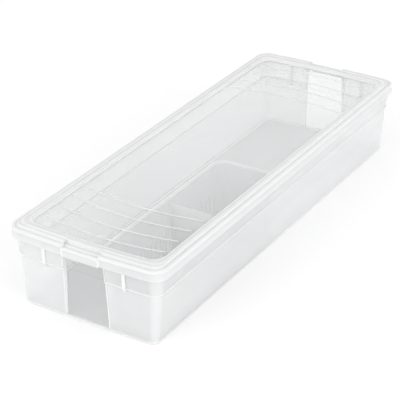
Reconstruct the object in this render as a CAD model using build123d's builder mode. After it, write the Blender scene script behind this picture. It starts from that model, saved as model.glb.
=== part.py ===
from build123d import *

import os
from math import radians, tan

# Long, low storage box for rolls of wrapping paper, kept under a bed: a thin-walled tub, a lid that
# drops over its rim and snaps at both ends, a lift-out accessory tray and the tray's divider.
# Millimetres. X is the width, Y the length and Z up, with the origin under the centre of the floor.
# Every outline is a rounded rectangle whose two short ends bow outward a little.

# ---- tub ----
floor_length = 866.0  # outside, at the floor, between the corners
floor_width = 278.0  # outside, at the floor
floor_bow = 2.0  # how far the middle of each end stands out beyond its corners
rim_bow = 4.0
floor_corner = 13.0  # plan radius of the vertical corners
rim_corner = 20.0
side_draft = 4.6  # degrees that the long walls lean outward
end_draft = 0.9
wall = 2.0
floor_thickness = 2.2
ledge_height = 99.0  # where the upper band of the wall steps out
band_step = 2.0
rim_height = 150.4
lip_reach = 4.0  # the rim's outward lip
lip_thickness = 2.0
lip_drop = 6.0  # its turned-down edge
base_round = 3.0

# ---- clear window and stop ribs in the tub's ends ----
window_depth = 2.0  # how far the window's face lies behind the foot of the end wall
window_bottom = 6.0
stop_rib_offset = 83.0  # each side of the middle
stop_rib_width = 6.5
stop_rib_foot = 10.0  # the ribs' feet taper back into the wall, this far below the ledge

# ---- lid ----
lid_wall = 1.8
lid_gap = 0.4  # between the lip and the skirt
seat_gap = 0.3  # between faces that rest on each other
lid_bow = 5.0
skirt_depth = 19.5  # from the shoulder down to the skirt's edge
skirt_round = 3.5
shoulder_width = 10.0  # the low outer step round the lid
crest_rise = 3.5  # the crest stands this far above the shoulder
crest_side = 13.0  # width of the crest along the sides
crest_end = 21.0  # and across the ends
crest_bevel = 1.0
panel_depth = 5.5  # the panel lies this far below the crest
panel_corner = 24.0
arch_count = 4  # arched ribs at each end of the panel
arch_first = 27.0  # from the end of the panel to the first
arch_pitch = 41.0
arch_margin = 12.0  # from the side of the panel to an arch's end
arch_rise = 15.0  # how far an arch's middle bulges towards the end
arch_width = 2.6
arch_height = 1.0

# ---- latches, one at each end ----
latch_width = 76.0
latch_dip = 5.0  # the rim and the lid both dip here
tread = 8.0  # two stepped treads make the finger grip
tab_drop = 2.5  # the tab hangs below the skirt
bead_reach = 1.0
bead_height = 2.6
bead_margin = 9.0  # the bead stops short of the latch's sides

# ---- accessory tray ----
tray_rim_length = 408.0
tray_rim_width = 135.0
tray_side_draft = 3.6
tray_end_draft = 1.6
tray_wall = 1.6
tray_height = 140.5
tray_corner = 22.0
tray_foot_bevel = 1.5
tray_lip = 3.5
tray_lip_thickness = 2.0
tray_end_space = 1.6  # from its rim to the wall behind the window
tray_side_space = 1.0  # from its foot to the tub's long wall
slot_rib_pitch = 14.0  # upright ribs inside the tray's long walls hold the divider
slot_rib_width = 1.6
slot_rib_reach = 1.6
slot_rib_height = 82.0
slot_rib_end_space = 24.0  # ribs keep this far from the tray's round corners

# ---- divider ----
divider_step = 2  # rib, counted from the tray's middle, that it stands on
divider_height = 126.0
divider_wall = 1.6
divider_flange = 11.0
divider_gap = 0.4

# ---- sizes that follow ----
side_slope = tan(radians(side_draft))
end_slope = tan(radians(end_draft))
tray_side_slope = tan(radians(tray_side_draft))
tray_end_slope = tan(radians(tray_end_draft))

rim_half_width = floor_width / 2 + rim_height * side_slope + band_step
rim_half_length = floor_length / 2 + rim_height * end_slope + band_step
lip_half_width = rim_half_width + lip_reach
lip_half_length = rim_half_length + lip_reach
lip_corner = rim_corner + lip_reach

shoulder_height = rim_height + seat_gap + lid_wall
crest_height = shoulder_height + crest_rise
panel_height = crest_height - panel_depth
skirt_bottom = shoulder_height - skirt_depth
tab_bottom = skirt_bottom - tab_drop
lid_half_width = lip_half_width + lid_gap + lid_wall
lid_half_length = lip_half_length + lid_gap + lid_wall
lid_corner = lip_corner + lid_gap + lid_wall
crest_inset = shoulder_width
panel_half_width = lid_half_width - shoulder_width - crest_side
panel_half_length = lid_half_length - shoulder_width - crest_end

window_half_width = latch_width / 2 + lid_wall + lid_gap
window_face = floor_length / 2 + floor_bow - window_depth
window_top = rim_height - latch_dip

tray_bottom = floor_thickness + seat_gap
tray_half_width = tray_rim_width / 2 - tray_lip
tray_half_length = tray_rim_length / 2 - tray_lip
tray_foot_half_width = tray_half_width - tray_height * tray_side_slope
tray_x = floor_width / 2 - wall - tray_side_space - tray_foot_half_width
tray_y = tray_rim_length / 2 + tray_end_space + wall - window_face
slot_rib_count = 2 * int((tray_half_length - slot_rib_end_space) / slot_rib_pitch) + 1

divider_y = tray_y + divider_step * slot_rib_pitch
divider_bottom = tray_bottom + tray_wall + seat_gap


def outline(height, half_width, half_length, bow, corner):
    """A rounded rectangle at this height, its short ends bowed outward."""
    with BuildSketch(Plane.XY.offset(height)) as plan:
        with BuildLine():
            right = Line((half_width, -half_length), (half_width, half_length))
            far = ThreePointArc(right @ 1, (0, half_length + bow), (-half_width, half_length))
            left = Line(far @ 1, (-half_width, -half_length))
            ThreePointArc(left @ 1, (0, -half_length - bow), right @ 0)
        make_face()
        fillet(plan.vertices(), corner)
    return plan.sketch


def tub_section(height, inset, step):
    """The tub's plan at this height, inset from its outer face and stepped out by the band."""
    share = height / rim_height
    return outline(
        height,
        floor_width / 2 + height * side_slope + step - inset,
        floor_length / 2 + height * end_slope + step - inset,
        floor_bow + share * (rim_bow - floor_bow),
        floor_corner + share * (rim_corner - floor_corner) - inset,
    )


def tub_envelope():
    """The tub's outer form, solid: the drafted body, the band above the ledge and the lip."""
    loft([tub_section(0, 0, 0), tub_section(ledge_height, 0, 0)], ruled=True)
    foot = faces().sort_by(Axis.Z)[0]
    fillet(foot.edges(), base_round)
    loft([tub_section(ledge_height, 0, band_step), tub_section(rim_height, 0, band_step)], ruled=True)
    lip = outline(rim_height - lip_drop, lip_half_width, lip_half_length, rim_bow, lip_corner)
    extrude(lip, amount=lip_drop)


def tub_hollow():
    """The space inside the tub, from the floor up through the rim."""
    step_height = ledge_height + wall
    body = [tub_section(floor_thickness, wall, 0), tub_section(step_height, wall, 0)]
    loft(body, ruled=True, mode=Mode.SUBTRACT)
    band = [tub_section(step_height, wall, band_step), tub_section(rim_height, wall, band_step)]
    loft(band, ruled=True, mode=Mode.SUBTRACT)


with BuildPart() as window_housing:
    # What stands behind both windows: the end walls moved inward, with cheeks joining them to the band.
    tub_envelope()
    with BuildSketch(Plane.XY) as cheeks:
        Rectangle(2 * (window_half_width + wall), 2 * (lip_half_length + rim_bow))
        Rectangle(2 * (window_half_width + wall), 2 * (window_face - wall), mode=Mode.SUBTRACT)
    extrude(cheeks.sketch, amount=rim_height, mode=Mode.INTERSECT)

with BuildPart() as box_tub:
    tub_envelope()
    # The lip is a channel, open underneath.
    channel_floor = rim_height - lip_drop
    with BuildSketch(Plane.XY.offset(channel_floor)) as channel:
        add(outline(0, lip_half_width - lip_thickness, lip_half_length - lip_thickness, rim_bow,
                    lip_corner - lip_thickness))
        add(outline(0, rim_half_width, rim_half_length, rim_bow, rim_corner), mode=Mode.SUBTRACT)
    extrude(channel.sketch, amount=lip_drop - lip_thickness, mode=Mode.SUBTRACT)
    # Short upright ribs on the band of both ends, one each side of the latch, from foot to lip.
    wall_foot = floor_length / 2 + floor_bow
    rib_face = rim_half_length + rim_bow
    for side in (-1, 1):
        with BuildSketch(Plane.YZ.offset(side * stop_rib_offset - stop_rib_width / 2)) as stop_ribs:
            for end in (-1, 1):
                with BuildLine():
                    Polyline(
                        (end * (wall_foot - wall), ledge_height - stop_rib_foot),
                        (end * wall_foot, ledge_height - stop_rib_foot),
                        (end * rib_face, ledge_height),
                        (end * rib_face, rim_height - lip_thickness),
                        (end * (wall_foot - wall), rim_height - lip_thickness),
                        close=True,
                    )
                make_face()
        extrude(stop_ribs.sketch, amount=stop_rib_width)
    tub_hollow()
    add(window_housing.part)
    for end in (-1, 1):
        # The window's recess, open at the top, then the dipped lip across it.
        recess_depth = lip_half_length + rim_bow - window_face
        middle = end * (window_face + recess_depth / 2)
        with BuildSketch(Plane.XY.offset(window_bottom)) as recess:
            with Locations((0, middle)):
                Rectangle(2 * window_half_width, recess_depth)
        extrude(recess.sketch, amount=window_top - lip_thickness - window_bottom, mode=Mode.SUBTRACT)
        with BuildSketch(Plane.XY.offset(window_top)) as dip:
            with Locations((0, end * (window_face - wall + recess_depth))):
                Rectangle(2 * window_half_width, 2 * recess_depth)
        extrude(dip.sketch, amount=rim_height, mode=Mode.SUBTRACT)

box_tub.part.label = "box_tub"


def lid_envelope():
    """The lid's outer form, solid, down to the tabs' edge: skirt, shoulder, crest and sunk panel."""
    extrude(outline(tab_bottom, lid_half_width, lid_half_length, lid_bow, lid_corner),
            amount=shoulder_height - tab_bottom)
    fillet(faces().sort_by(Axis.Z)[-1].edges(), skirt_round)
    extrude(outline(shoulder_height, lid_half_width - crest_inset, lid_half_length - crest_inset, lid_bow,
                    lid_corner - crest_inset), amount=crest_rise)
    chamfer(faces().sort_by(Axis.Z)[-1].edges(), crest_bevel)
    extrude(outline(panel_height, panel_half_width, panel_half_length, lid_bow, panel_corner),
            amount=panel_depth, mode=Mode.SUBTRACT)
    chamfer(faces().sort_by(Axis.Z)[-1].inner_wires().edges(), crest_bevel)


def rim_hollow(bottom, top, inset):
    """The space under the rim between two heights, outside the wall that carries the panel."""
    with BuildSketch(Plane.XY.offset(bottom)) as ring:
        add(outline(0, lid_half_width - inset, lid_half_length - inset, lid_bow, lid_corner - inset))
        add(outline(0, panel_half_width + lid_wall, panel_half_length + lid_wall, lid_bow,
                    panel_corner + lid_wall), mode=Mode.SUBTRACT)
    extrude(ring.sketch, amount=top - bottom, mode=Mode.SUBTRACT)


with BuildPart() as latch_treads:
    # Solid stock under both finger grips, inside the lid's outer form.
    lid_envelope()
    lid_end = lid_half_length + lid_bow
    low_under = shoulder_height - latch_dip - lid_wall
    high_under = shoulder_height - latch_dip / 2 - lid_wall
    with BuildSketch(Plane.YZ.offset(-latch_width / 2 - lid_wall)) as stock:
        for end in (-1, 1):
            with BuildLine():
                Polyline(
                    (end * lid_end, low_under),
                    (end * (lid_end - tread - lid_wall), low_under),
                    (end * (lid_end - tread - lid_wall), high_under),
                    (end * (lid_end - 2 * tread - lid_wall), high_under),
                    (end * (lid_end - 2 * tread - lid_wall), crest_height),
                    (end * lid_end, crest_height),
                    close=True,
                )
            make_face()
    extrude(stock.sketch, amount=latch_width + 2 * lid_wall, mode=Mode.INTERSECT)

with BuildPart() as lid:
    lid_envelope()
    panel_under = panel_height - lid_wall
    extrude(outline(tab_bottom, lid_half_width - lid_wall, lid_half_length - lid_wall, lid_bow,
                    lid_corner - lid_wall), amount=panel_under - tab_bottom, mode=Mode.SUBTRACT)
    rim_hollow(panel_under, shoulder_height - lid_wall, lid_wall)
    rim_hollow(shoulder_height - lid_wall, crest_height - lid_wall, crest_inset + lid_wall)
    add(latch_treads.part)
    for end in (-1, 1):
        # Two treads step down to the lid's edge.
        for steps, depth in ((1, latch_dip), (2, latch_dip / 2)):
            with BuildSketch(Plane.XY.offset(shoulder_height - depth)) as grip:
                with Locations((0, end * lid_end)):
                    Rectangle(latch_width, 2 * steps * tread)
            extrude(grip.sketch, amount=crest_height, mode=Mode.SUBTRACT)
    # Only the two tabs hang below the skirt.
    with BuildSketch(Plane.XY.offset(tab_bottom)) as beside_tabs:
        Rectangle(2 * lid_half_width, 2 * lid_end)
        Rectangle(latch_width, 2 * lid_end, mode=Mode.SUBTRACT)
    extrude(beside_tabs.sketch, amount=tab_drop, mode=Mode.SUBTRACT)
    # A snap bead inside each tab stands just below the edge of the tub's dipped lip.
    bead_top = window_top - lip_thickness - seat_gap
    bead_inset = lid_wall + bead_reach
    with BuildSketch(Plane.XY.offset(bead_top - bead_height)) as beads:
        add(outline(0, lid_half_width - lid_wall, lid_half_length - lid_wall, lid_bow,
                    lid_corner - lid_wall))
        add(outline(0, lid_half_width - bead_inset, lid_half_length - bead_inset, lid_bow,
                    lid_corner - bead_inset), mode=Mode.SUBTRACT)
        Rectangle(latch_width - 2 * bead_margin, 2 * lid_end, mode=Mode.INTERSECT)
    extrude(beads.sketch, amount=bead_height)
    # Arched ribs across both ends of the panel, bulging towards the ends.
    arch_half_width = panel_half_width - arch_margin
    with BuildSketch(Plane.XY.offset(panel_height)) as arches:
        for end in (-1, 1):
            for number in range(arch_count):
                crown = end * (panel_half_length + lid_bow - arch_first - number * arch_pitch)
                foot_y = crown - end * arch_rise
                with BuildLine():
                    ThreePointArc((-arch_half_width, foot_y), (0, crown), (arch_half_width, foot_y))
                    offset(amount=arch_width / 2, kind=Kind.ARC, side=Side.BOTH)
                make_face()
    extrude(arches.sketch, amount=arch_height)

lid.part.label = "lid"


def tray_section(height, inset):
    """The tray's plan at a height above its own foot, inset from its outer face."""
    fall = tray_height - height
    with BuildSketch(Plane.XY.offset(tray_bottom + height)) as plan:
        with Locations((tray_x, tray_y)):
            RectangleRounded(
                2 * (tray_half_width - fall * tray_side_slope - inset),
                2 * (tray_half_length - fall * tray_end_slope - inset),
                tray_corner - inset,
            )
    return plan.sketch


with BuildPart() as accessory_tray:
    foot_plans = [tray_section(0, tray_foot_bevel), tray_section(tray_foot_bevel, 0)]
    loft(foot_plans + [tray_section(tray_height, 0)], ruled=True)
    tray_lip_plan = tray_section(tray_height, -tray_lip)
    extrude(tray_lip_plan, amount=-tray_lip_thickness)
    hollow_plans = [tray_section(tray_wall, tray_wall), tray_section(tray_height, tray_wall)]
    loft(hollow_plans, ruled=True, mode=Mode.SUBTRACT)
    # Upright ribs along both long walls lean with the walls.
    floor_half_width = tray_half_width - tray_wall - (tray_height - tray_wall) * tray_side_slope
    for side in (-1, 1):
        with BuildSketch(Plane.XY.offset(tray_bottom + tray_wall)) as slot_ribs:
            with Locations((tray_x + side * floor_half_width, tray_y)):
                with GridLocations(0, slot_rib_pitch, 1, slot_rib_count):
                    Rectangle(2 * slot_rib_reach, slot_rib_width)
        extrude(slot_ribs.sketch, amount=slot_rib_height, dir=(side * tray_side_slope, 0, 1))

accessory_tray.part.label = "accessory_tray"

with BuildPart() as tray_divider:
    # A web across the tray, with a flange at each end that forks over one of the ribs.
    flange_depth = slot_rib_reach + divider_wall
    foot_rise = divider_bottom - tray_bottom
    foot_drop = tray_height - foot_rise
    foot_half_width = tray_half_width - tray_wall - foot_drop * tray_side_slope - divider_gap
    top_half_width = foot_half_width + divider_height * tray_side_slope
    with BuildSketch(Plane.XZ.offset(-divider_y + divider_flange / 2)) as blank:
        with BuildLine():
            Polyline(
                (tray_x - foot_half_width, divider_bottom),
                (tray_x + foot_half_width, divider_bottom),
                (tray_x + top_half_width, divider_bottom + divider_height),
                (tray_x - top_half_width, divider_bottom + divider_height),
                close=True,
            )
        make_face()
    extrude(blank.sketch, amount=-divider_flange)
    for side in (-1, 1):
        # Room each side of the web, between the flanges.
        with BuildSketch(Plane.XZ.offset(-divider_y + side * (divider_flange + divider_wall) / 4)) as room:
            with BuildLine():
                Polyline(
                    (tray_x - foot_half_width + flange_depth, divider_bottom),
                    (tray_x + foot_half_width - flange_depth, divider_bottom),
                    (tray_x + top_half_width - flange_depth, divider_bottom + divider_height),
                    (tray_x - top_half_width + flange_depth, divider_bottom + divider_height),
                    close=True,
                )
            make_face()
        extrude(room.sketch, amount=(divider_flange - divider_wall) / 4, both=True, mode=Mode.SUBTRACT)
        # The fork's slot for the rib.
        with BuildSketch(Plane.XY.offset(divider_bottom)) as slot:
            with Locations((tray_x + side * foot_half_width, divider_y)):
                Rectangle(2 * slot_rib_reach, slot_rib_width + 2 * divider_gap)
        extrude(slot.sketch, amount=divider_height, dir=(side * tray_side_slope, 0, 1), mode=Mode.SUBTRACT)

tray_divider.part.label = "tray_divider"

os.makedirs("parts", exist_ok=True)
export_step(box_tub.part, "parts/box_tub.step")
export_step(lid.part, "parts/lid.step")
export_step(accessory_tray.part, "parts/accessory_tray.step")
export_step(tray_divider.part, "parts/tray_divider.step")
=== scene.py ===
import math

import bmesh
import bpy
from mathutils import Matrix, Vector


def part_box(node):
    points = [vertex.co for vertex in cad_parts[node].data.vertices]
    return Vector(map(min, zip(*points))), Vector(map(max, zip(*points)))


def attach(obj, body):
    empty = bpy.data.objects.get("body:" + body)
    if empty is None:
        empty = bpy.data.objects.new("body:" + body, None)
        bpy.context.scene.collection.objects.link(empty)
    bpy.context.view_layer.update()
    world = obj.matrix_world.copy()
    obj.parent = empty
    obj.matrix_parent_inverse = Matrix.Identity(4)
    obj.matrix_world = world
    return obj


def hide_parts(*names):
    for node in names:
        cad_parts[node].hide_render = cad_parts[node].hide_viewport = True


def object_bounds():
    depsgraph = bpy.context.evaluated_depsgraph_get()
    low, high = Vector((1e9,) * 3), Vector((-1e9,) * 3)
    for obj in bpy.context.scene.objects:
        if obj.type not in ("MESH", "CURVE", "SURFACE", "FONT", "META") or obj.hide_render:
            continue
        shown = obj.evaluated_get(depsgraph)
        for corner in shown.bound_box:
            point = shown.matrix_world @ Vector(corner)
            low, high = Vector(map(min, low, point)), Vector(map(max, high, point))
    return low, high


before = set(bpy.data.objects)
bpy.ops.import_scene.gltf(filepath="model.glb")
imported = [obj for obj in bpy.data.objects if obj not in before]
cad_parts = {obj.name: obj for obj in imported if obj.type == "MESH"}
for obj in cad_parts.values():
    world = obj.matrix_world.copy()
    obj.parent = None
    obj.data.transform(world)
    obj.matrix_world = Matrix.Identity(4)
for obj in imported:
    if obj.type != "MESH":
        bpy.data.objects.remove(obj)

cad_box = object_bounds()

# ---- Tub ----
# The tub is one deep, thin injection moulding in unpigmented polypropylene. Its walls lean outward, a
# ledge stiffens them two thirds of the way up, and the rim turns over into a lip that is open
# underneath. Each end wall falls back behind a polished window, where the rim dips for the lid's tab.
tub_wall = 0.002
rim_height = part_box("box_tub")[1].z
floor_half_width, floor_half_length = 0.139, 0.433
floor_corner, rim_corner = 0.013, 0.020
floor_bow, rim_bow = 0.002, 0.004
side_lean, end_lean = math.tan(math.radians(4.6)), math.tan(math.radians(0.9))
ledge_height, ledge_step = 0.099, 0.002
lip_under, lip_out, lip_drop = rim_height - tub_wall, 0.0022, 0.004
window_top_half, window_spread, window_face, window_foot = 0.0416, 0.0044, 0.433, 0.006
rim_dip, dipped_lip_drop = 0.005, 0.0005
window_cheek, window_fade, window_sill = 0.0009, 0.0024, 0.0008
tub_end_points = (0.0135, 0.027, 0.062, 0.078, 0.088, 0.104)
end_zone = 0.4  # a point further along than this is on an end
hair = 1e-5  # sizes that differ by less are the same
# Steps along a side and round a corner, and the painted highlight's peak in the middle of a round corner.
side_steps, corner_steps, corner_highlight_peak = 12, 10, 0.3


def hoop(half_width, half_length, bow, corner, breaks):
    """One loop round a moulding: straight sides, round corners and ends that bow outward. Every loop has
    a point at each of the breaks, which are distances from the middle of an end. A point's third number
    is the weight of its painted highlight, most in the middle of a round corner."""
    turn_x = half_width - corner
    lean = math.atan(2 * bow * turn_x / half_width**2)

    def end_at(x):
        return half_length + bow * (1 - (x / half_width) ** 2)

    turn_y = end_at(turn_x) - corner / math.cos(lean)
    first = [(half_width, turn_y * step / side_steps, 0.0) for step in range(side_steps)]
    for step in range(corner_steps + 1):
        angle = (math.pi / 2 - lean) * step / corner_steps
        first.append((turn_x + corner * math.cos(angle), turn_y + corner * math.sin(angle),
                      corner_highlight_peak * math.sin(math.pi * step / corner_steps)))
    first += [(x, end_at(x), 0.0) for x in sorted(breaks, reverse=True)] + [(0.0, end_at(0.0), 0.0)]
    upper = first + [(-x, y, highlight_weight) for x, y, highlight_weight in reversed(first[:-1])]
    return upper + [(x, -y, highlight_weight) for x, y, highlight_weight in reversed(upper[1:-1])]


def soften(path, radii, steps=4, fade=0.0024):
    """A moulding's section with each corner rounded. path holds tuples of sizes that change together, and
    the radius is measured on the last two. Each place comes back with the weight of its painted highlight:
    1 in a corner, fading to 0 on the plain wall beside it."""
    most_of_a_side = 0.48
    rounded = [(path[0], 0.0)]
    for before, corner, after, radius in zip(path, path[1:], path[2:], radii):
        if radius == 0:
            rounded.append((corner, 0.0))
            continue
        back_length, on_length = math.dist(before[-2:], corner[-2:]), math.dist(corner[-2:], after[-2:])
        near, far = min(most_of_a_side, radius / back_length), min(most_of_a_side, radius / on_length)

        def toward(end, share):
            return tuple(c + (e - c) * share for e, c in zip(end, corner))

        if back_length > 2 * (radius + fade):
            rounded.append((toward(before, (radius + fade) / back_length), 0.0))
        start, stop = toward(before, near), toward(after, far)
        for step in range(steps + 1):
            t = step / steps
            rounded.append((tuple((1 - t) ** 2 * s + 2 * t * (1 - t) * c + t * t * e
                                  for s, c, e in zip(start, corner, stop)), 1.0))
        if on_length > 2 * (radius + fade):
            rounded.append((toward(after, (radius + fade) / on_length), 0.0))
    return rounded + [(path[-1], 0.0)]


def skin(name, loops, flat_first):
    """The outer skin of a moulding through its loops. The flat floor closes the first loop, or the flat
    panel the last. A point attribute keeps the weight of the painted highlight, which paints edges and
    corners whiter and milkier, none on the flat."""
    count = len(loops[0])
    faces = []
    for start in range(0, (len(loops) - 1) * count, count):
        for i in range(count):
            onward = (i + 1) % count
            faces.append((start + i, start + onward, start + count + onward, start + count + i))
    last = (len(loops) - 1) * count
    faces.append(tuple(reversed(range(count))) if flat_first else tuple(range(last, last + count)))
    mesh = bpy.data.meshes.new(name)
    mesh.from_pydata([point[:3] for loop in loops for point in loop], [], faces)
    painted_highlight = mesh.attributes.new("painted_highlight", "FLOAT", "POINT")
    flat_row = 0 if flat_first else len(loops) - 1
    painted_highlight.data.foreach_set("value", [0.0 if row == flat_row else point[3]
                                        for row, loop in enumerate(loops) for point in loop])
    mesh.update()
    piece = bpy.data.objects.new(name, mesh)
    bpy.context.scene.collection.objects.link(piece)
    return piece


def settle(piece):
    """The piece's modifiers made part of its mesh, with no empty place for a material, and its faces shaded
    round except at real corners."""
    shaped = bpy.data.meshes.new_from_object(piece.evaluated_get(bpy.context.evaluated_depsgraph_get()))
    piece.modifiers.clear()
    piece.data = shaped
    shaped.name = piece.name
    while shaped.materials and shaped.materials[0] is None:
        shaped.materials.pop(index=0)
    shaped.shade_smooth()
    shaped.set_sharp_from_angle(angle=math.radians(38))


def thicken(piece, thickness):
    """The skin given its wall, inward."""
    wall = piece.modifiers.new("wall", "SOLIDIFY")
    wall.thickness, wall.offset, wall.use_even_offset = thickness, -1, True
    settle(piece)


def window_half_at(height):
    """Half the width of the window's recess, which narrows from its foot up to the rim."""
    return window_top_half + window_spread * (1 - max(height, window_foot) / rim_height)


def tub_loop(height, out, highlight_weight, window_height, window_y):
    """The tub's plan at a height, standing out from its leaning wall, with the place of its two windows."""
    share = height / rim_height
    half = window_half_at(height)
    window_points = (half - window_cheek - window_fade, half - window_cheek, half, half + window_fade)
    loop = hoop(floor_half_width + height * side_lean + out,
                floor_half_length + height * end_lean + out,
                floor_bow + share * (rim_bow - floor_bow),
                floor_corner + share * (rim_corner - floor_corner) + out,
                window_points + tub_end_points)
    placed = []
    for x, y, corner_highlight in loop:
        at_end = abs(y) > end_zone and window_y > 0
        by_window = at_end and half - window_cheek - hair < abs(x) < half + hair
        z, painted_highlight = height, max(highlight_weight, corner_highlight)
        if at_end and abs(x) < half - window_cheek / 2:
            y, z = math.copysign(window_y, y), window_height
            painted_highlight = highlight_weight if window_y != window_face or height <= window_foot else 0.0
        # The edges of the window's recess carry the full painted highlight.
        placed.append((x, y, z, 1.0 if by_window else painted_highlight))
    return placed


# Sizes in a row: how far the wall stands out, its height, and the height that it has at the window.
tub_section = [
    (-floor_corner, 0.0, 0.0),
    (0.0, 0.0, 0.0),
    (0.0, window_foot, window_foot),
    (0.0, ledge_height, ledge_height),
    (ledge_step, ledge_height, ledge_height),
    (ledge_step, lip_under, lip_under - rim_dip),
    (ledge_step + lip_out, lip_under, lip_under - rim_dip),
    (ledge_step + lip_out, lip_under - lip_drop, lip_under - rim_dip - dipped_lip_drop),
]
tub_section = soften([(dip, out, height) for out, height, dip in tub_section],
                     (0.0032, 0.0, 0.0005, 0.0007, 0.0009, 0.0007))
tub_loops = []
for (dip, out, height), highlight_weight in tub_section:
    if height < window_foot - hair:
        window_y = 0.0
    elif out > ledge_step + hair:
        bow_here = floor_bow + height / rim_height * (rim_bow - floor_bow)
        window_y = floor_half_length + height * end_lean + bow_here + out
    else:
        window_y = window_face
    if abs(height - window_foot) < hair:
        tub_loops.append(tub_loop(height, out, highlight_weight, height, 0.0))
        dip += window_sill
    tub_loops.append(tub_loop(height, out, highlight_weight, dip, window_y))
box_tub = skin("tub_moulding", tub_loops, True)
thicken(box_tub, tub_wall)


# Unpigmented polypropylene is milky. The mould's spark texture frosts it, the flow of the melt leaves
# faint cloudy streaks along the moulding, and handling dulls it in soft patches.
def melt_and_mould():
    """The pattern that all these mouldings share: cloudy streaks, frost and soft scuffs."""
    group = bpy.data.node_groups.new("melt_and_mould", "ShaderNodeTree")
    for label, scale in (("Frost Scale", 1100.0), ("Cloud Scale", 9.0)):
        new_socket = group.interface.new_socket(label, in_out="INPUT", socket_type="NodeSocketFloat")
        new_socket.default_value = scale
    for label in ("Light Tone", "Deep Tone"):
        group.interface.new_socket(label, in_out="INPUT", socket_type="NodeSocketColor")
    group.interface.new_socket("Color", in_out="OUTPUT", socket_type="NodeSocketColor")
    for label in ("Cloud", "Height", "Wear"):
        group.interface.new_socket(label, in_out="OUTPUT", socket_type="NodeSocketFloat")
    node, link = group.nodes.new, group.links.new
    given, result, place = node("NodeGroupInput"), node("NodeGroupOutput"), node("ShaderNodeTexCoord")
    flow = node("ShaderNodeMapping")
    flow.inputs["Scale"].default_value = (1.0, 0.35, 1.6)
    link(place.outputs["Object"], flow.inputs["Vector"])
    cloud = node("ShaderNodeTexNoise")
    cloud.inputs["Detail"].default_value = 4.0
    cloud.inputs["Distortion"].default_value = 0.6
    link(flow.outputs["Vector"], cloud.inputs["Vector"])
    link(given.outputs["Cloud Scale"], cloud.inputs["Scale"])
    frost = node("ShaderNodeTexNoise")
    frost.inputs["Detail"].default_value = 2.0
    link(place.outputs["Object"], frost.inputs["Vector"])
    link(given.outputs["Frost Scale"], frost.inputs["Scale"])
    scuffs = node("ShaderNodeTexNoise")
    scuffs.inputs["Scale"].default_value = 42.0
    scuffs.inputs["Detail"].default_value = 3.0
    link(place.outputs["Object"], scuffs.inputs["Vector"])
    worn = node("ShaderNodeMapRange")
    worn.interpolation_type = "SMOOTHSTEP"
    worn.inputs["From Min"].default_value = 0.45
    worn.inputs["From Max"].default_value = 0.75
    link(scuffs.outputs["Fac"], worn.inputs["Value"])
    tone = node("ShaderNodeMix")
    tone.data_type = "RGBA"
    link(cloud.outputs["Fac"], tone.inputs["Factor"])
    link(given.outputs["Deep Tone"], tone.inputs["A"])
    link(given.outputs["Light Tone"], tone.inputs["B"])
    link(tone.outputs["Result"], result.inputs["Color"])
    link(cloud.outputs["Fac"], result.inputs["Cloud"])
    link(frost.outputs["Fac"], result.inputs["Height"])
    link(worn.outputs["Result"], result.inputs["Wear"])
    return group


melt = melt_and_mould()


def polypropylene(name, rough, frost_depth, white, milk, highlight_milk):
    """A finish of the plastic: its roughness, its texture's strength, how white it is, how milky it is, and
    how milky at its painted highlight, where it is also painted whiter."""
    material = bpy.data.materials.new(name)
    material.use_nodes = True
    node, link = material.node_tree.nodes.new, material.node_tree.links.new
    shader = material.node_tree.nodes["Principled BSDF"]
    shader.inputs["IOR"].default_value = 1.49
    shader.inputs["Transmission Weight"].default_value = 0.1
    pattern = node("ShaderNodeGroup")
    pattern.node_tree = melt
    pattern.inputs["Light Tone"].default_value = (white, white + 0.004, white + 0.008, 1)
    pattern.inputs["Deep Tone"].default_value = (white - 0.04, white - 0.034, white - 0.024, 1)
    # Painted highlight: where the point attribute is 1 the plastic is painted whiter, standing in for the
    # bright lines that thicker plastic shows at edges and corners.
    painted_highlight = node("ShaderNodeAttribute")
    painted_highlight.attribute_name = "painted_highlight"
    highlight_tone = node("ShaderNodeMix")
    highlight_tone.data_type = "RGBA"
    highlight_tone.inputs["B"].default_value = (white + 0.012, white + 0.015, white + 0.018, 1)
    link(painted_highlight.outputs["Fac"], highlight_tone.inputs["Factor"])
    link(pattern.outputs["Color"], highlight_tone.inputs["A"])
    link(highlight_tone.outputs["Result"], shader.inputs["Base Color"])
    gloss = node("ShaderNodeMapRange")
    gloss.inputs["To Min"].default_value = rough * 0.85
    gloss.inputs["To Max"].default_value = rough * 1.15
    link(pattern.outputs["Cloud"], gloss.inputs["Value"])
    worn = node("ShaderNodeMath")
    worn.operation = "MULTIPLY_ADD"
    worn.inputs[1].default_value = 0.06
    link(pattern.outputs["Wear"], worn.inputs[0])
    link(gloss.outputs["Result"], worn.inputs[2])
    link(worn.outputs[0], shader.inputs["Roughness"])
    cover = node("ShaderNodeMapRange")
    cover.inputs["To Min"].default_value = milk * 0.9
    cover.inputs["To Max"].default_value = min(1.0, milk * 1.1)
    link(pattern.outputs["Cloud"], cover.inputs["Value"])
    # The painted highlight also makes the plastic milkier there.
    highlight_cover = node("ShaderNodeMix")
    highlight_cover.inputs["B"].default_value = highlight_milk
    link(painted_highlight.outputs["Fac"], highlight_cover.inputs["Factor"])
    link(cover.outputs["Result"], highlight_cover.inputs["A"])
    link(highlight_cover.outputs["Result"], shader.inputs["Alpha"])
    texture = node("ShaderNodeBump")
    texture.inputs["Strength"].default_value = frost_depth
    texture.inputs["Distance"].default_value = 0.0002
    link(pattern.outputs["Height"], texture.inputs["Height"])
    link(texture.outputs["Normal"], shader.inputs["Normal"])
    return material


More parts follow.
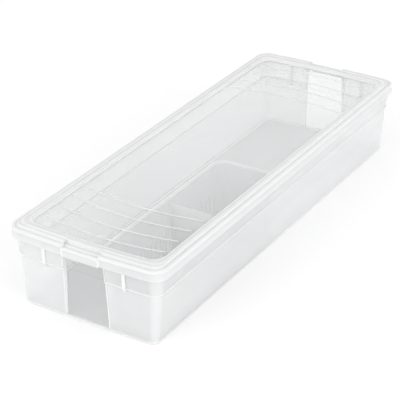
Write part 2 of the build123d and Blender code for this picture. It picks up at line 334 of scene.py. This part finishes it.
tub_frost = polypropylene("tub_frost", rough=0.42, frost_depth=0.25,
                          white=0.955, milk=0.49, highlight_milk=0.92)
tub_band = polypropylene("tub_band", rough=0.34, frost_depth=0.10,
                         white=0.955, milk=0.42, highlight_milk=0.92)
window_polish = polypropylene("window_polish", rough=0.08, frost_depth=0.02,
                              white=0.955, milk=0.13, highlight_milk=0.90)
box_tub.data.materials.append(tub_frost)
box_tub.data.materials.append(window_polish)
box_tub.data.materials.append(tub_band)
window_reach, ledge_round = 0.0032, 0.0015
for face in box_tub.data.polygons:
    middle = face.center
    in_window = (abs(middle.x) < window_half_at(middle.z) - window_cheek
                 and abs(abs(middle.y) - window_face) < window_reach)
    if in_window and window_foot < middle.z < lip_under - rim_dip:
        face.material_index = 1
    elif ledge_height + ledge_round < middle.z < lip_under - lip_drop:
        face.material_index = 2
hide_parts("box_tub")
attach(box_tub, "tub")

# Two short upright ribs stand on the band at each end, either side of the latch. They keep the lid's
# skirt from being pushed in, and their feet taper back into the wall below the ledge.
stop_rib_place, stop_rib_half = 0.083, 0.00325
stop_rib_face = floor_half_length + rim_height * end_lean + ledge_step + rim_bow
stop_rib_foot, stop_rib_top, stop_rib_ledge = ledge_height - 0.0093, lip_under + 0.0003, ledge_height + 0.0005
foot_back, ledge_back, top_back = 0.4356, 0.4376, 0.4391
stop_rib_side = [(foot_back, stop_rib_foot), (stop_rib_face, stop_rib_ledge), (stop_rib_face, stop_rib_top),
                 (top_back, stop_rib_top), (ledge_back, ledge_height + ledge_round)]
shape = bmesh.new()
for middle in (-stop_rib_place, stop_rib_place):
    for end in (-1, 1):
        flanks = [[shape.verts.new((x, end * y, z)) for y, z in stop_rib_side]
                  for x in (middle - stop_rib_half, middle + stop_rib_half)]
        for flank in flanks:
            shape.faces.new(flank)
        for i in range(len(stop_rib_side)):
            onward = (i + 1) % len(stop_rib_side)
            shape.faces.new((flanks[0][i], flanks[0][onward], flanks[1][onward], flanks[1][i]))
bmesh.ops.recalc_face_normals(shape, faces=shape.faces)
stop_ribs = bpy.data.objects.new("tub_stop_ribs", bpy.data.meshes.new("tub_stop_ribs"))
shape.to_mesh(stop_ribs.data)
shape.free()
bpy.context.scene.collection.objects.link(stop_ribs)
# The whole of each stop rib carries the painted highlight.
stop_ribs.data.attributes.new("painted_highlight", "FLOAT", "POINT").data.foreach_set(
    "value", [1.0] * len(stop_ribs.data.vertices))
stop_ribs.data.materials.append(tub_frost)
edge = stop_ribs.modifiers.new("moulded_edge", "BEVEL")
edge.width, edge.segments, edge.limit_method, edge.angle_limit = 0.0009, 3, "ANGLE", math.radians(30)
settle(stop_ribs)
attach(stop_ribs, "tub")

# ---- Accessory tray ----
# A separate thin moulding with steep walls and a flat lip, dropped into the near half of the tub. Close
# upright ribs inside its long walls make the slots that the divider slides into.
tray_low, tray_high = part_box("accessory_tray")
tray_middle = (tray_low + tray_high) / 2
tray_wall = 0.0016
tray_lip, tray_lip_edge = 0.0035, 0.0008
tray_corner, tray_least_corner = 0.022, 0.002
tray_end_point = 0.020
tray_side_lean, tray_end_lean = math.tan(math.radians(3.6)), math.tan(math.radians(1.6))
tray_rise = tray_high.z - tray_low.z
tray_lip_under = tray_rise - 0.0018
tray_section = soften(
    [(-0.020, 0.0), (0.0, 0.0), (0.0, tray_lip_under), (tray_lip - tray_lip_edge, tray_lip_under),
     (tray_lip - tray_lip_edge, tray_lip_under - tray_lip_edge)],
    (0.0022, 0.0010, 0.0003))
tray_loops = []
for (out, height), highlight_weight in tray_section:
    fall = tray_rise - height
    loop = hoop((tray_high.x - tray_low.x) / 2 - tray_lip - fall * tray_side_lean + out,
                (tray_high.y - tray_low.y) / 2 - tray_lip - fall * tray_end_lean + out,
                0.0, max(tray_least_corner, tray_corner + out), (tray_end_point,))
    tray_loops.append([(tray_middle.x + x, tray_middle.y + y, tray_low.z + height, max(highlight_weight, corner_highlight))
                       for x, y, corner_highlight in loop])
tray_frost = polypropylene("tray_frost", rough=0.36, frost_depth=0.20,
                           white=0.955, milk=0.47, highlight_milk=0.88)
tray = skin("tray_moulding", tray_loops, True)
tray.data.materials.append(tray_frost)
thicken(tray, tray_wall)
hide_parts("accessory_tray")
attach(tray, "tray")


def feed(tree, step, values):
    """A node's inputs set in order, each by a number or by another node's output. It gives its result."""
    for socket, value in zip(step.inputs, values):
        if isinstance(value, (int, float)):
            socket.default_value = value
        else:
            tree.links.new(value, socket)
    return step.outputs[0]


def sums(tree, operation, *values):
    """The result of a sum on two or three values."""
    step = tree.nodes.new("ShaderNodeMath")
    step.operation = operation
    return feed(tree, step, values)


def place_at(tree, *values):
    """A place, from its three values."""
    return feed(tree, tree.nodes.new("ShaderNodeCombineXYZ"), values)


def sweep(tree, curve, width, height, radius):
    """A bar with rounded edges along a curve, closed at both ends."""
    node, link = tree.nodes.new, tree.links.new
    outline = node("GeometryNodeCurvePrimitiveQuadrilateral")
    link(width, outline.inputs["Width"])
    link(height, outline.inputs["Height"])
    rounded = node("GeometryNodeFilletCurve")
    rounded.mode = "POLY"
    rounded.inputs["Count"].default_value = 3
    link(outline.outputs["Curve"], rounded.inputs["Curve"])
    link(radius, rounded.inputs["Radius"])
    bar = node("GeometryNodeCurveToMesh")
    bar.inputs["Fill Caps"].default_value = True
    link(curve, bar.inputs["Curve"])
    link(rounded.outputs["Curve"], bar.inputs["Profile Curve"])
    return bar.outputs["Mesh"]


def facing_rows(name, draw_rib, sizes):
    """A piece made of ribs by Geometry Nodes: a row of them, and the same row turned half round to face it.
    Each size is an input of the tree. draw_rib adds one rib, and says where its row starts and how far on
    the next rib stands."""
    tree = bpy.data.node_groups.new(name, "GeometryNodeTree")
    tree.interface.new_socket("Geometry", in_out="OUTPUT", socket_type="NodeSocketGeometry")
    kinds = {"Count": "NodeSocketInt", "Place": "NodeSocketVector", "Material": "NodeSocketMaterial"}
    for label in sizes:
        tree.interface.new_socket(label, in_out="INPUT", socket_type=kinds.get(label, "NodeSocketFloat"))
    node, link = tree.nodes.new, tree.links.new
    given, result = node("NodeGroupInput").outputs, node("NodeGroupOutput")
    rib, first, onward = draw_rib(tree, given)
    row = node("GeometryNodeMeshLine")
    link(given["Count"], row.inputs["Count"])
    link(first, row.inputs["Start Location"])
    link(onward, row.inputs["Offset"])
    placed = node("GeometryNodeInstanceOnPoints")
    link(row.outputs["Mesh"], placed.inputs["Points"])
    link(rib, placed.inputs["Instance"])
    facing = node("GeometryNodeTransform")
    facing.inputs["Rotation"].default_value = (0, 0, math.pi)
    link(placed.outputs["Instances"], facing.inputs["Geometry"])
    both = node("GeometryNodeJoinGeometry")
    link(placed.outputs["Instances"], both.inputs["Geometry"])
    link(facing.outputs["Geometry"], both.inputs["Geometry"])
    moved = node("GeometryNodeTransform")
    link(both.outputs["Geometry"], moved.inputs["Geometry"])
    link(given["Place"], moved.inputs["Translation"])
    real = node("GeometryNodeRealizeInstances")
    link(moved.outputs["Geometry"], real.inputs["Geometry"])
    # Every rib carries the full painted highlight.
    highlight_weight = node("GeometryNodeStoreNamedAttribute")
    highlight_weight.inputs["Name"].default_value = "painted_highlight"
    highlight_weight.inputs["Value"].default_value = 1.0
    link(real.outputs["Geometry"], highlight_weight.inputs["Geometry"])
    coated = node("GeometryNodeSetMaterial")
    link(highlight_weight.outputs["Geometry"], coated.inputs["Geometry"])
    link(given["Material"], coated.inputs["Material"])
    link(coated.outputs["Geometry"], result.inputs["Geometry"])
    piece = bpy.data.objects.new(name, bpy.data.meshes.new(name))
    bpy.context.scene.collection.objects.link(piece)
    ribs = piece.modifiers.new("ribs", "NODES")
    ribs.node_group = tree
    for socket in tree.interface.items_tree:
        if socket.in_out == "INPUT":
            ribs[socket.identifier] = sizes[socket.name]
    settle(piece)
    return piece


def slot_rib(tree, given):
    """An upright rib that leans with the tray's long wall and is sunk a little into it."""
    spine = tree.nodes.new("GeometryNodeCurvePrimitiveLine")
    rise = sums(tree, "MULTIPLY", given["Height"], given["Lean"])
    tree.links.new(place_at(tree, rise, 0, given["Height"]), spine.inputs["End"])
    rib = sweep(tree, spine.outputs["Curve"], given["Width"], sums(tree, "MULTIPLY", given["Reach"], 2),
                sums(tree, "MULTIPLY", given["Width"], 0.3))
    half_count = sums(tree, "MULTIPLY", sums(tree, "SUBTRACT", given["Count"], 1), -0.5)
    first = place_at(tree, sums(tree, "DIVIDE", given["Rows Apart"], 2),
                     sums(tree, "MULTIPLY", half_count, given["Pitch"]), 0)
    return rib, first, place_at(tree, 0, given["Pitch"], 0)


tray_narrowing = (tray_rise - tray_wall) * tray_side_lean
tray_floor_half = (tray_high.x - tray_low.x) / 2 - tray_lip - tray_wall - tray_narrowing
rib_sunk, rib_foot_sunk = 0.00065, 0.0001
slot_ribs = facing_rows("tray_slot_ribs", slot_rib, {
    "Count": 25, "Pitch": 0.014, "Width": 0.0016, "Reach": 0.0009, "Height": 0.082, "Lean": tray_side_lean,
    "Rows Apart": 2 * (tray_floor_half - rib_sunk),
    "Place": (tray_middle.x, tray_middle.y, tray_low.z + tray_wall - rib_foot_sunk), "Material": tray_frost})
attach(slot_ribs, "tray")

# ---- Tray divider ----
# A flat web with a flange at each end. Each flange forks over one rib of the tray, and the whole
# divider lifts out to stand on another rib.
divider_low, divider_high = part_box("tray_divider")
divider_middle = (divider_low + divider_high) / 2
web_half, flange_half, fork_half = 0.0008, 0.0055, 0.0012
flange_depth, fork_depth = 0.0032, 0.0016
top_half_width = (divider_high.x - divider_low.x) / 2
foot_half_width = top_half_width - (divider_high.z - divider_low.z) * tray_side_lean


def divider_plan(half_width, height):
    """The divider from above at one height: its web, and a forked flange at each end."""
    quarter = [(half_width - flange_depth, web_half), (half_width - flange_depth, flange_half),
               (half_width, flange_half), (half_width, fork_half), (half_width - fork_depth, fork_half)]
    right = [(x, -y) for x, y in quarter] + [(x, y) for x, y in reversed(quarter)]
    left = [(-x, -y) for x, y in right]
    flange_from = half_width - flange_depth - hair
    # The flanges carry the painted highlight; the web has none.
    return [(divider_middle.x + x, divider_middle.y + y, height, 1.0 if abs(x) > flange_from else 0.0)
            for x, y in right + left]


divider_loops = [divider_plan(foot_half_width, divider_low.z), divider_plan(top_half_width, divider_high.z)]
divider = skin("divider_moulding", divider_loops, True)
shape = bmesh.new()
shape.from_mesh(divider.data)
shape.verts.ensure_lookup_table()
count = len(divider_loops[0])
shape.faces.new([shape.verts[count + i] for i in range(count)])
bmesh.ops.recalc_face_normals(shape, faces=shape.faces)
shape.to_mesh(divider.data)
shape.free()
divider.data.materials.append(tray_frost)
edge = divider.modifiers.new("moulded_edge", "BEVEL")
edge.width, edge.segments, edge.limit_method, edge.angle_limit = 0.0003, 2, "ANGLE", math.radians(40)
settle(divider)
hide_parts("tray_divider")
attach(divider, "divider")

# ---- Lid ----
# The lid is one moulding that drops over the tub's lip. From the skirt's edge its wall runs up over a
# low shoulder and a raised crest, then down into a sunk, nearly clear panel. At both ends two treads
# step down to a tab that the fingers lift, with a snap bead inside it.
lid_low, lid_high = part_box("lid")
lid_wall = 0.0018
lid_bow, lid_corner = 0.005, 0.0262
lid_half_width, lid_half_length = lid_high.x, lid_high.y - lid_bow
shoulder_width, tread = 0.010, 0.008
panel_side, panel_end, panel_corner, panel_edge = 0.023, 0.031, 0.024, 0.003
crest_height = lid_high.z
shoulder_height = crest_height - 0.0035
panel_height = crest_height - 0.0055
skirt_edge = shoulder_height - 0.0195
tab_edge = lid_low.z
latch_half_width, latch_cheek, latch_fade = 0.0372, 0.0008, 0.0024
lid_end_points = (0.013, 0.026, 0.060, 0.085, 0.105)
first_tread, second_tread = shoulder_height - 0.005, shoulder_height - 0.0025
# Sizes in a row: the latch's inset and height, the corner, the side's inset, the end's inset, the height.
lid_section = soften(
    [(0.0, tab_edge, lid_corner, 0.0, 0.0, skirt_edge),
     (0.0, first_tread, lid_corner, 0.0, 0.0, shoulder_height),
     (tread, first_tread, lid_corner - shoulder_width, shoulder_width, shoulder_width, shoulder_height),
     (tread, second_tread, lid_corner - shoulder_width, shoulder_width, shoulder_width, crest_height),
     (2 * tread, second_tread, 0.018, 0.0125, 0.018, crest_height),
     (2 * tread, crest_height, 0.019, 0.0135, 0.0195, crest_height),
     (panel_end, crest_height, panel_corner, panel_side, panel_end, crest_height),
     (panel_end, panel_height, panel_corner, panel_side, panel_end, panel_height),
     (panel_end + panel_edge, panel_height, panel_corner - 0.002,
      panel_side + panel_edge, panel_end + panel_edge, panel_height)],
    (0.0035, 0.0008, 0.0011, 0.0004, 0.0004, 0.0011, 0.0009))
latch_points = (latch_half_width - latch_fade, latch_half_width, latch_half_width + latch_cheek,
                latch_half_width + latch_cheek + latch_fade)
lid_across = latch_points + lid_end_points
crest_inset = 0.020  # the treads lie outside this
lid_loops = []
for (latch_inset, latch_height, corner, side_inset, end_inset, height), highlight_weight in lid_section:
    outside = hoop(lid_half_width - side_inset, lid_half_length - end_inset, lid_bow, corner, lid_across)
    at_latch = hoop(lid_half_width - side_inset, lid_half_length - latch_inset, lid_bow, corner, lid_across)
    loop = []
    for inner, outer in zip(at_latch, outside):
        at_end = abs(outer[1]) > end_zone
        on_cheek = latch_half_width - hair < abs(outer[0]) < latch_half_width + latch_cheek + hair
        # The latch's cheeks carry the full painted highlight.
        cheek_highlight = 1.0 if at_end and on_cheek and end_inset < crest_inset else 0.0
        in_latch = at_end and abs(outer[0]) < latch_half_width + latch_cheek / 2
        x, y, corner_highlight = inner if in_latch else outer
        loop.append((x, y, latch_height if in_latch else height, max(highlight_weight, corner_highlight, cheek_highlight)))
    lid_loops.append(loop)
# The rim is painted greyer than the panel, though both are one moulding: painted shade that keeps its
# brightly lit top from glaring.
lid_rim = polypropylene("lid_rim", rough=0.36, frost_depth=0.12,
                        white=0.90, milk=0.66, highlight_milk=0.80)
lid_panel = polypropylene("lid_panel", rough=0.14, frost_depth=0.04,
                          white=0.955, milk=0.26, highlight_milk=0.60)
lid = skin("lid_moulding", lid_loops, False)
lid.data.materials.append(lid_rim)
lid.data.materials.append(lid_panel)
lid.data.polygons[-1].material_index = 1
thicken(lid, lid_wall)
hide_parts("lid")
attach(lid, "lid")

# A snap bead inside each tab catches under the tub's dipped lip.
bead_half_length, bead_reach, bead_low, bead_high = 0.029, 0.001, 0.1408, 0.1431
bead_steps, bead_end_taper = 24, 0.55
bead_section = [(math.cos(math.pi * step / 6) / 2, math.sin(math.pi * step / 6)) for step in range(7)]
bead_section += [(-0.5, -0.5), (0.5, -0.5)]
shape = bmesh.new()
for end in (-1, 1):
    rings = []
    for step in range(bead_steps + 1):
        x = bead_half_length * (2 * step / bead_steps - 1)
        taper = 1.0 if 0 < step < bead_steps else bead_end_taper
        inner_face = lid_half_length + lid_bow * (1 - (x / lid_half_width) ** 2) - lid_wall
        rings.append([shape.verts.new((x, end * (inner_face - bead_reach * taper * depth),
                                       (bead_low + bead_high) / 2 + (bead_high - bead_low) * taper * rise))
                      for rise, depth in bead_section])
    count = len(bead_section)
    for ring, following in zip(rings, rings[1:]):
        for i in range(count):
            shape.faces.new((ring[i], ring[(i + 1) % count], following[(i + 1) % count], following[i]))
    shape.faces.new(rings[0])
    shape.faces.new(rings[-1])
bmesh.ops.recalc_face_normals(shape, faces=shape.faces)
beads = bpy.data.objects.new("lid_snap_beads", bpy.data.meshes.new("lid_snap_beads"))
shape.to_mesh(beads.data)
shape.free()
bpy.context.scene.collection.objects.link(beads)
beads.data.materials.append(lid_rim)
settle(beads)
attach(beads, "lid")

# Four arched ribs stiffen each end of the panel. Each is a low rounded bead across it, bulging towards
# the end.
arch_first, arch_margin = 0.027, 0.012
arch_crown = lid_half_length - panel_end + lid_bow - arch_first
arch_half_width = lid_half_width - panel_side - arch_margin


def arched_rib(tree, given):
    """A bead along an arc through both its ends and its crown, sunk a little into the panel."""
    arch = tree.nodes.new("GeometryNodeCurveArc")
    arch.mode = "POINTS"
    arch.inputs["Resolution"].default_value = 49
    arch.inputs["Middle"].default_value = (0, 0, 0)
    fall = sums(tree, "MULTIPLY", given["Rise"], -1)
    left = sums(tree, "MULTIPLY", given["Half Width"], -1)
    tree.links.new(place_at(tree, left, fall, 0), arch.inputs["Start"])
    tree.links.new(place_at(tree, given["Half Width"], fall, 0), arch.inputs["End"])
    rib = sweep(tree, arch.outputs["Curve"], given["Rib Width"], given["Rib Height"],
                sums(tree, "MULTIPLY", given["Rib Height"], 0.46))
    first = place_at(tree, 0, given["Crown"], sums(tree, "MULTIPLY", given["Rib Height"], 0.42))
    return rib, first, place_at(tree, 0, sums(tree, "MULTIPLY", given["Pitch"], -1), 0)


arches = facing_rows("lid_arched_ribs", arched_rib, {
    "Count": 4, "Pitch": 0.041, "Crown": arch_crown, "Half Width": arch_half_width, "Rise": 0.015,
    "Rib Width": 0.0026, "Rib Height": 0.0010, "Place": (0, 0, panel_height), "Material": lid_rim})
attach(arches, "lid")

# ---- Studio ----
# A white paper floor that keeps the box's soft shadow, under an even white surround.
floor_reach = 9.0
floor_mesh = bpy.data.meshes.new("studio_floor")
floor_mesh.from_pydata([(-floor_reach, -floor_reach, 0), (floor_reach, -floor_reach, 0),
                        (floor_reach, floor_reach, 0), (-floor_reach, floor_reach, 0)], [], [(0, 1, 2, 3)])
studio_floor = bpy.data.objects.new("studio_floor", floor_mesh)
bpy.context.scene.collection.objects.link(studio_floor)
studio_floor.location.z = cad_box[0][2] - 0.0003


def seen_directly(tree):
    """1 for the rays that see a thing itself, straight, mirrored or through the plastic; 0 for its light."""
    ray = tree.nodes.new("ShaderNodeLightPath").outputs
    seen = sums(tree, "MAXIMUM", ray["Is Camera Ray"], ray["Is Transmission Ray"])
    return sums(tree, "MAXIMUM", seen, ray["Is Glossy Ray"])


paper = bpy.data.materials.new("white_paper")
paper.use_nodes = True
shader = paper.node_tree.nodes["Principled BSDF"]
shader.inputs["Base Color"].default_value = (0.72, 0.72, 0.72, 1)
shader.inputs["Roughness"].default_value = 0.9
shader.inputs["Emission Color"].default_value = (1, 1, 1, 1)
paper_white = sums(paper.node_tree, "MULTIPLY", seen_directly(paper.node_tree), 0.25)
paper.node_tree.links.new(paper_white, shader.inputs["Emission Strength"])
floor_mesh.materials.append(paper)

surround = bpy.data.worlds.new("white_surround")
bpy.context.scene.world = surround
surround.use_nodes = True
node, link = surround.node_tree.nodes.new, surround.node_tree.links.new
sky = surround.node_tree.nodes["Background"]
sky.inputs["Color"].default_value = (1, 1, 1, 1)
direction = node("ShaderNodeTexCoord")
height_of = node("ShaderNodeSeparateXYZ")
link(direction.outputs["Generated"], height_of.inputs[0])
dome = node("ShaderNodeMapRange")
dome.inputs["To Min"].default_value = 1.10
dome.inputs["To Max"].default_value = 0.90
link(height_of.outputs["Z"], dome.inputs["Value"])
level = node("ShaderNodeMapRange")
link(dome.outputs["Result"], level.inputs["To Min"])
level.inputs["To Max"].default_value = 1.0
link(seen_directly(surround.node_tree), level.inputs["Value"])
link(level.outputs["Result"], sky.inputs["Strength"])

lamp_aim = Vector((0, 0, 0.08))
for name, place, size, power in (
    ("key_softbox", (-1.2, -2.9, 1.0), 2.4, 27.0),
    ("fill_softbox", (3.0, -0.8, 0.9), 2.4, 36.0),
):
    light = bpy.data.lights.new(name, "AREA")
    light.shape, light.size, light.energy = "SQUARE", size, power
    lamp = bpy.data.objects.new(name, light)
    bpy.context.scene.collection.objects.link(lamp)
    lamp.location = place
    lamp.rotation_mode = "QUATERNION"
    lamp.rotation_quaternion = (lamp_aim - Vector(place)).to_track_quat("-Z", "Y")

# ---- Camera ----
# A long lens, almost three metres from the box, turned a third of a right angle from its long axis and
# looking down on it.
lens = bpy.data.cameras.new("camera")
lens.sensor_width, lens.lens = 36.0, 134.0
camera = bpy.data.objects.new("camera", lens)
bpy.context.scene.collection.objects.link(camera)
turn, height, tilt = math.radians(32.434), math.radians(28.657), math.radians(-0.942)
back = Vector((math.sin(turn) * math.cos(height), -math.cos(turn) * math.cos(height), math.sin(height)))
right = Vector((math.cos(turn), math.sin(turn), 0.0))
up = back.cross(right)
right, up = right * math.cos(tilt) + up * math.sin(tilt), up * math.cos(tilt) - right * math.sin(tilt)
distance, slip_left, slip_up = 2.8925, 0.0371, 0.0337
stand = back * distance - right * slip_left + up * slip_up
camera.matrix_world = Matrix.Translation(stand) @ Matrix((right, up, back)).transposed().to_4x4()
bpy.context.scene.camera = camera

bpy.context.scene.view_settings.view_transform = "Standard"
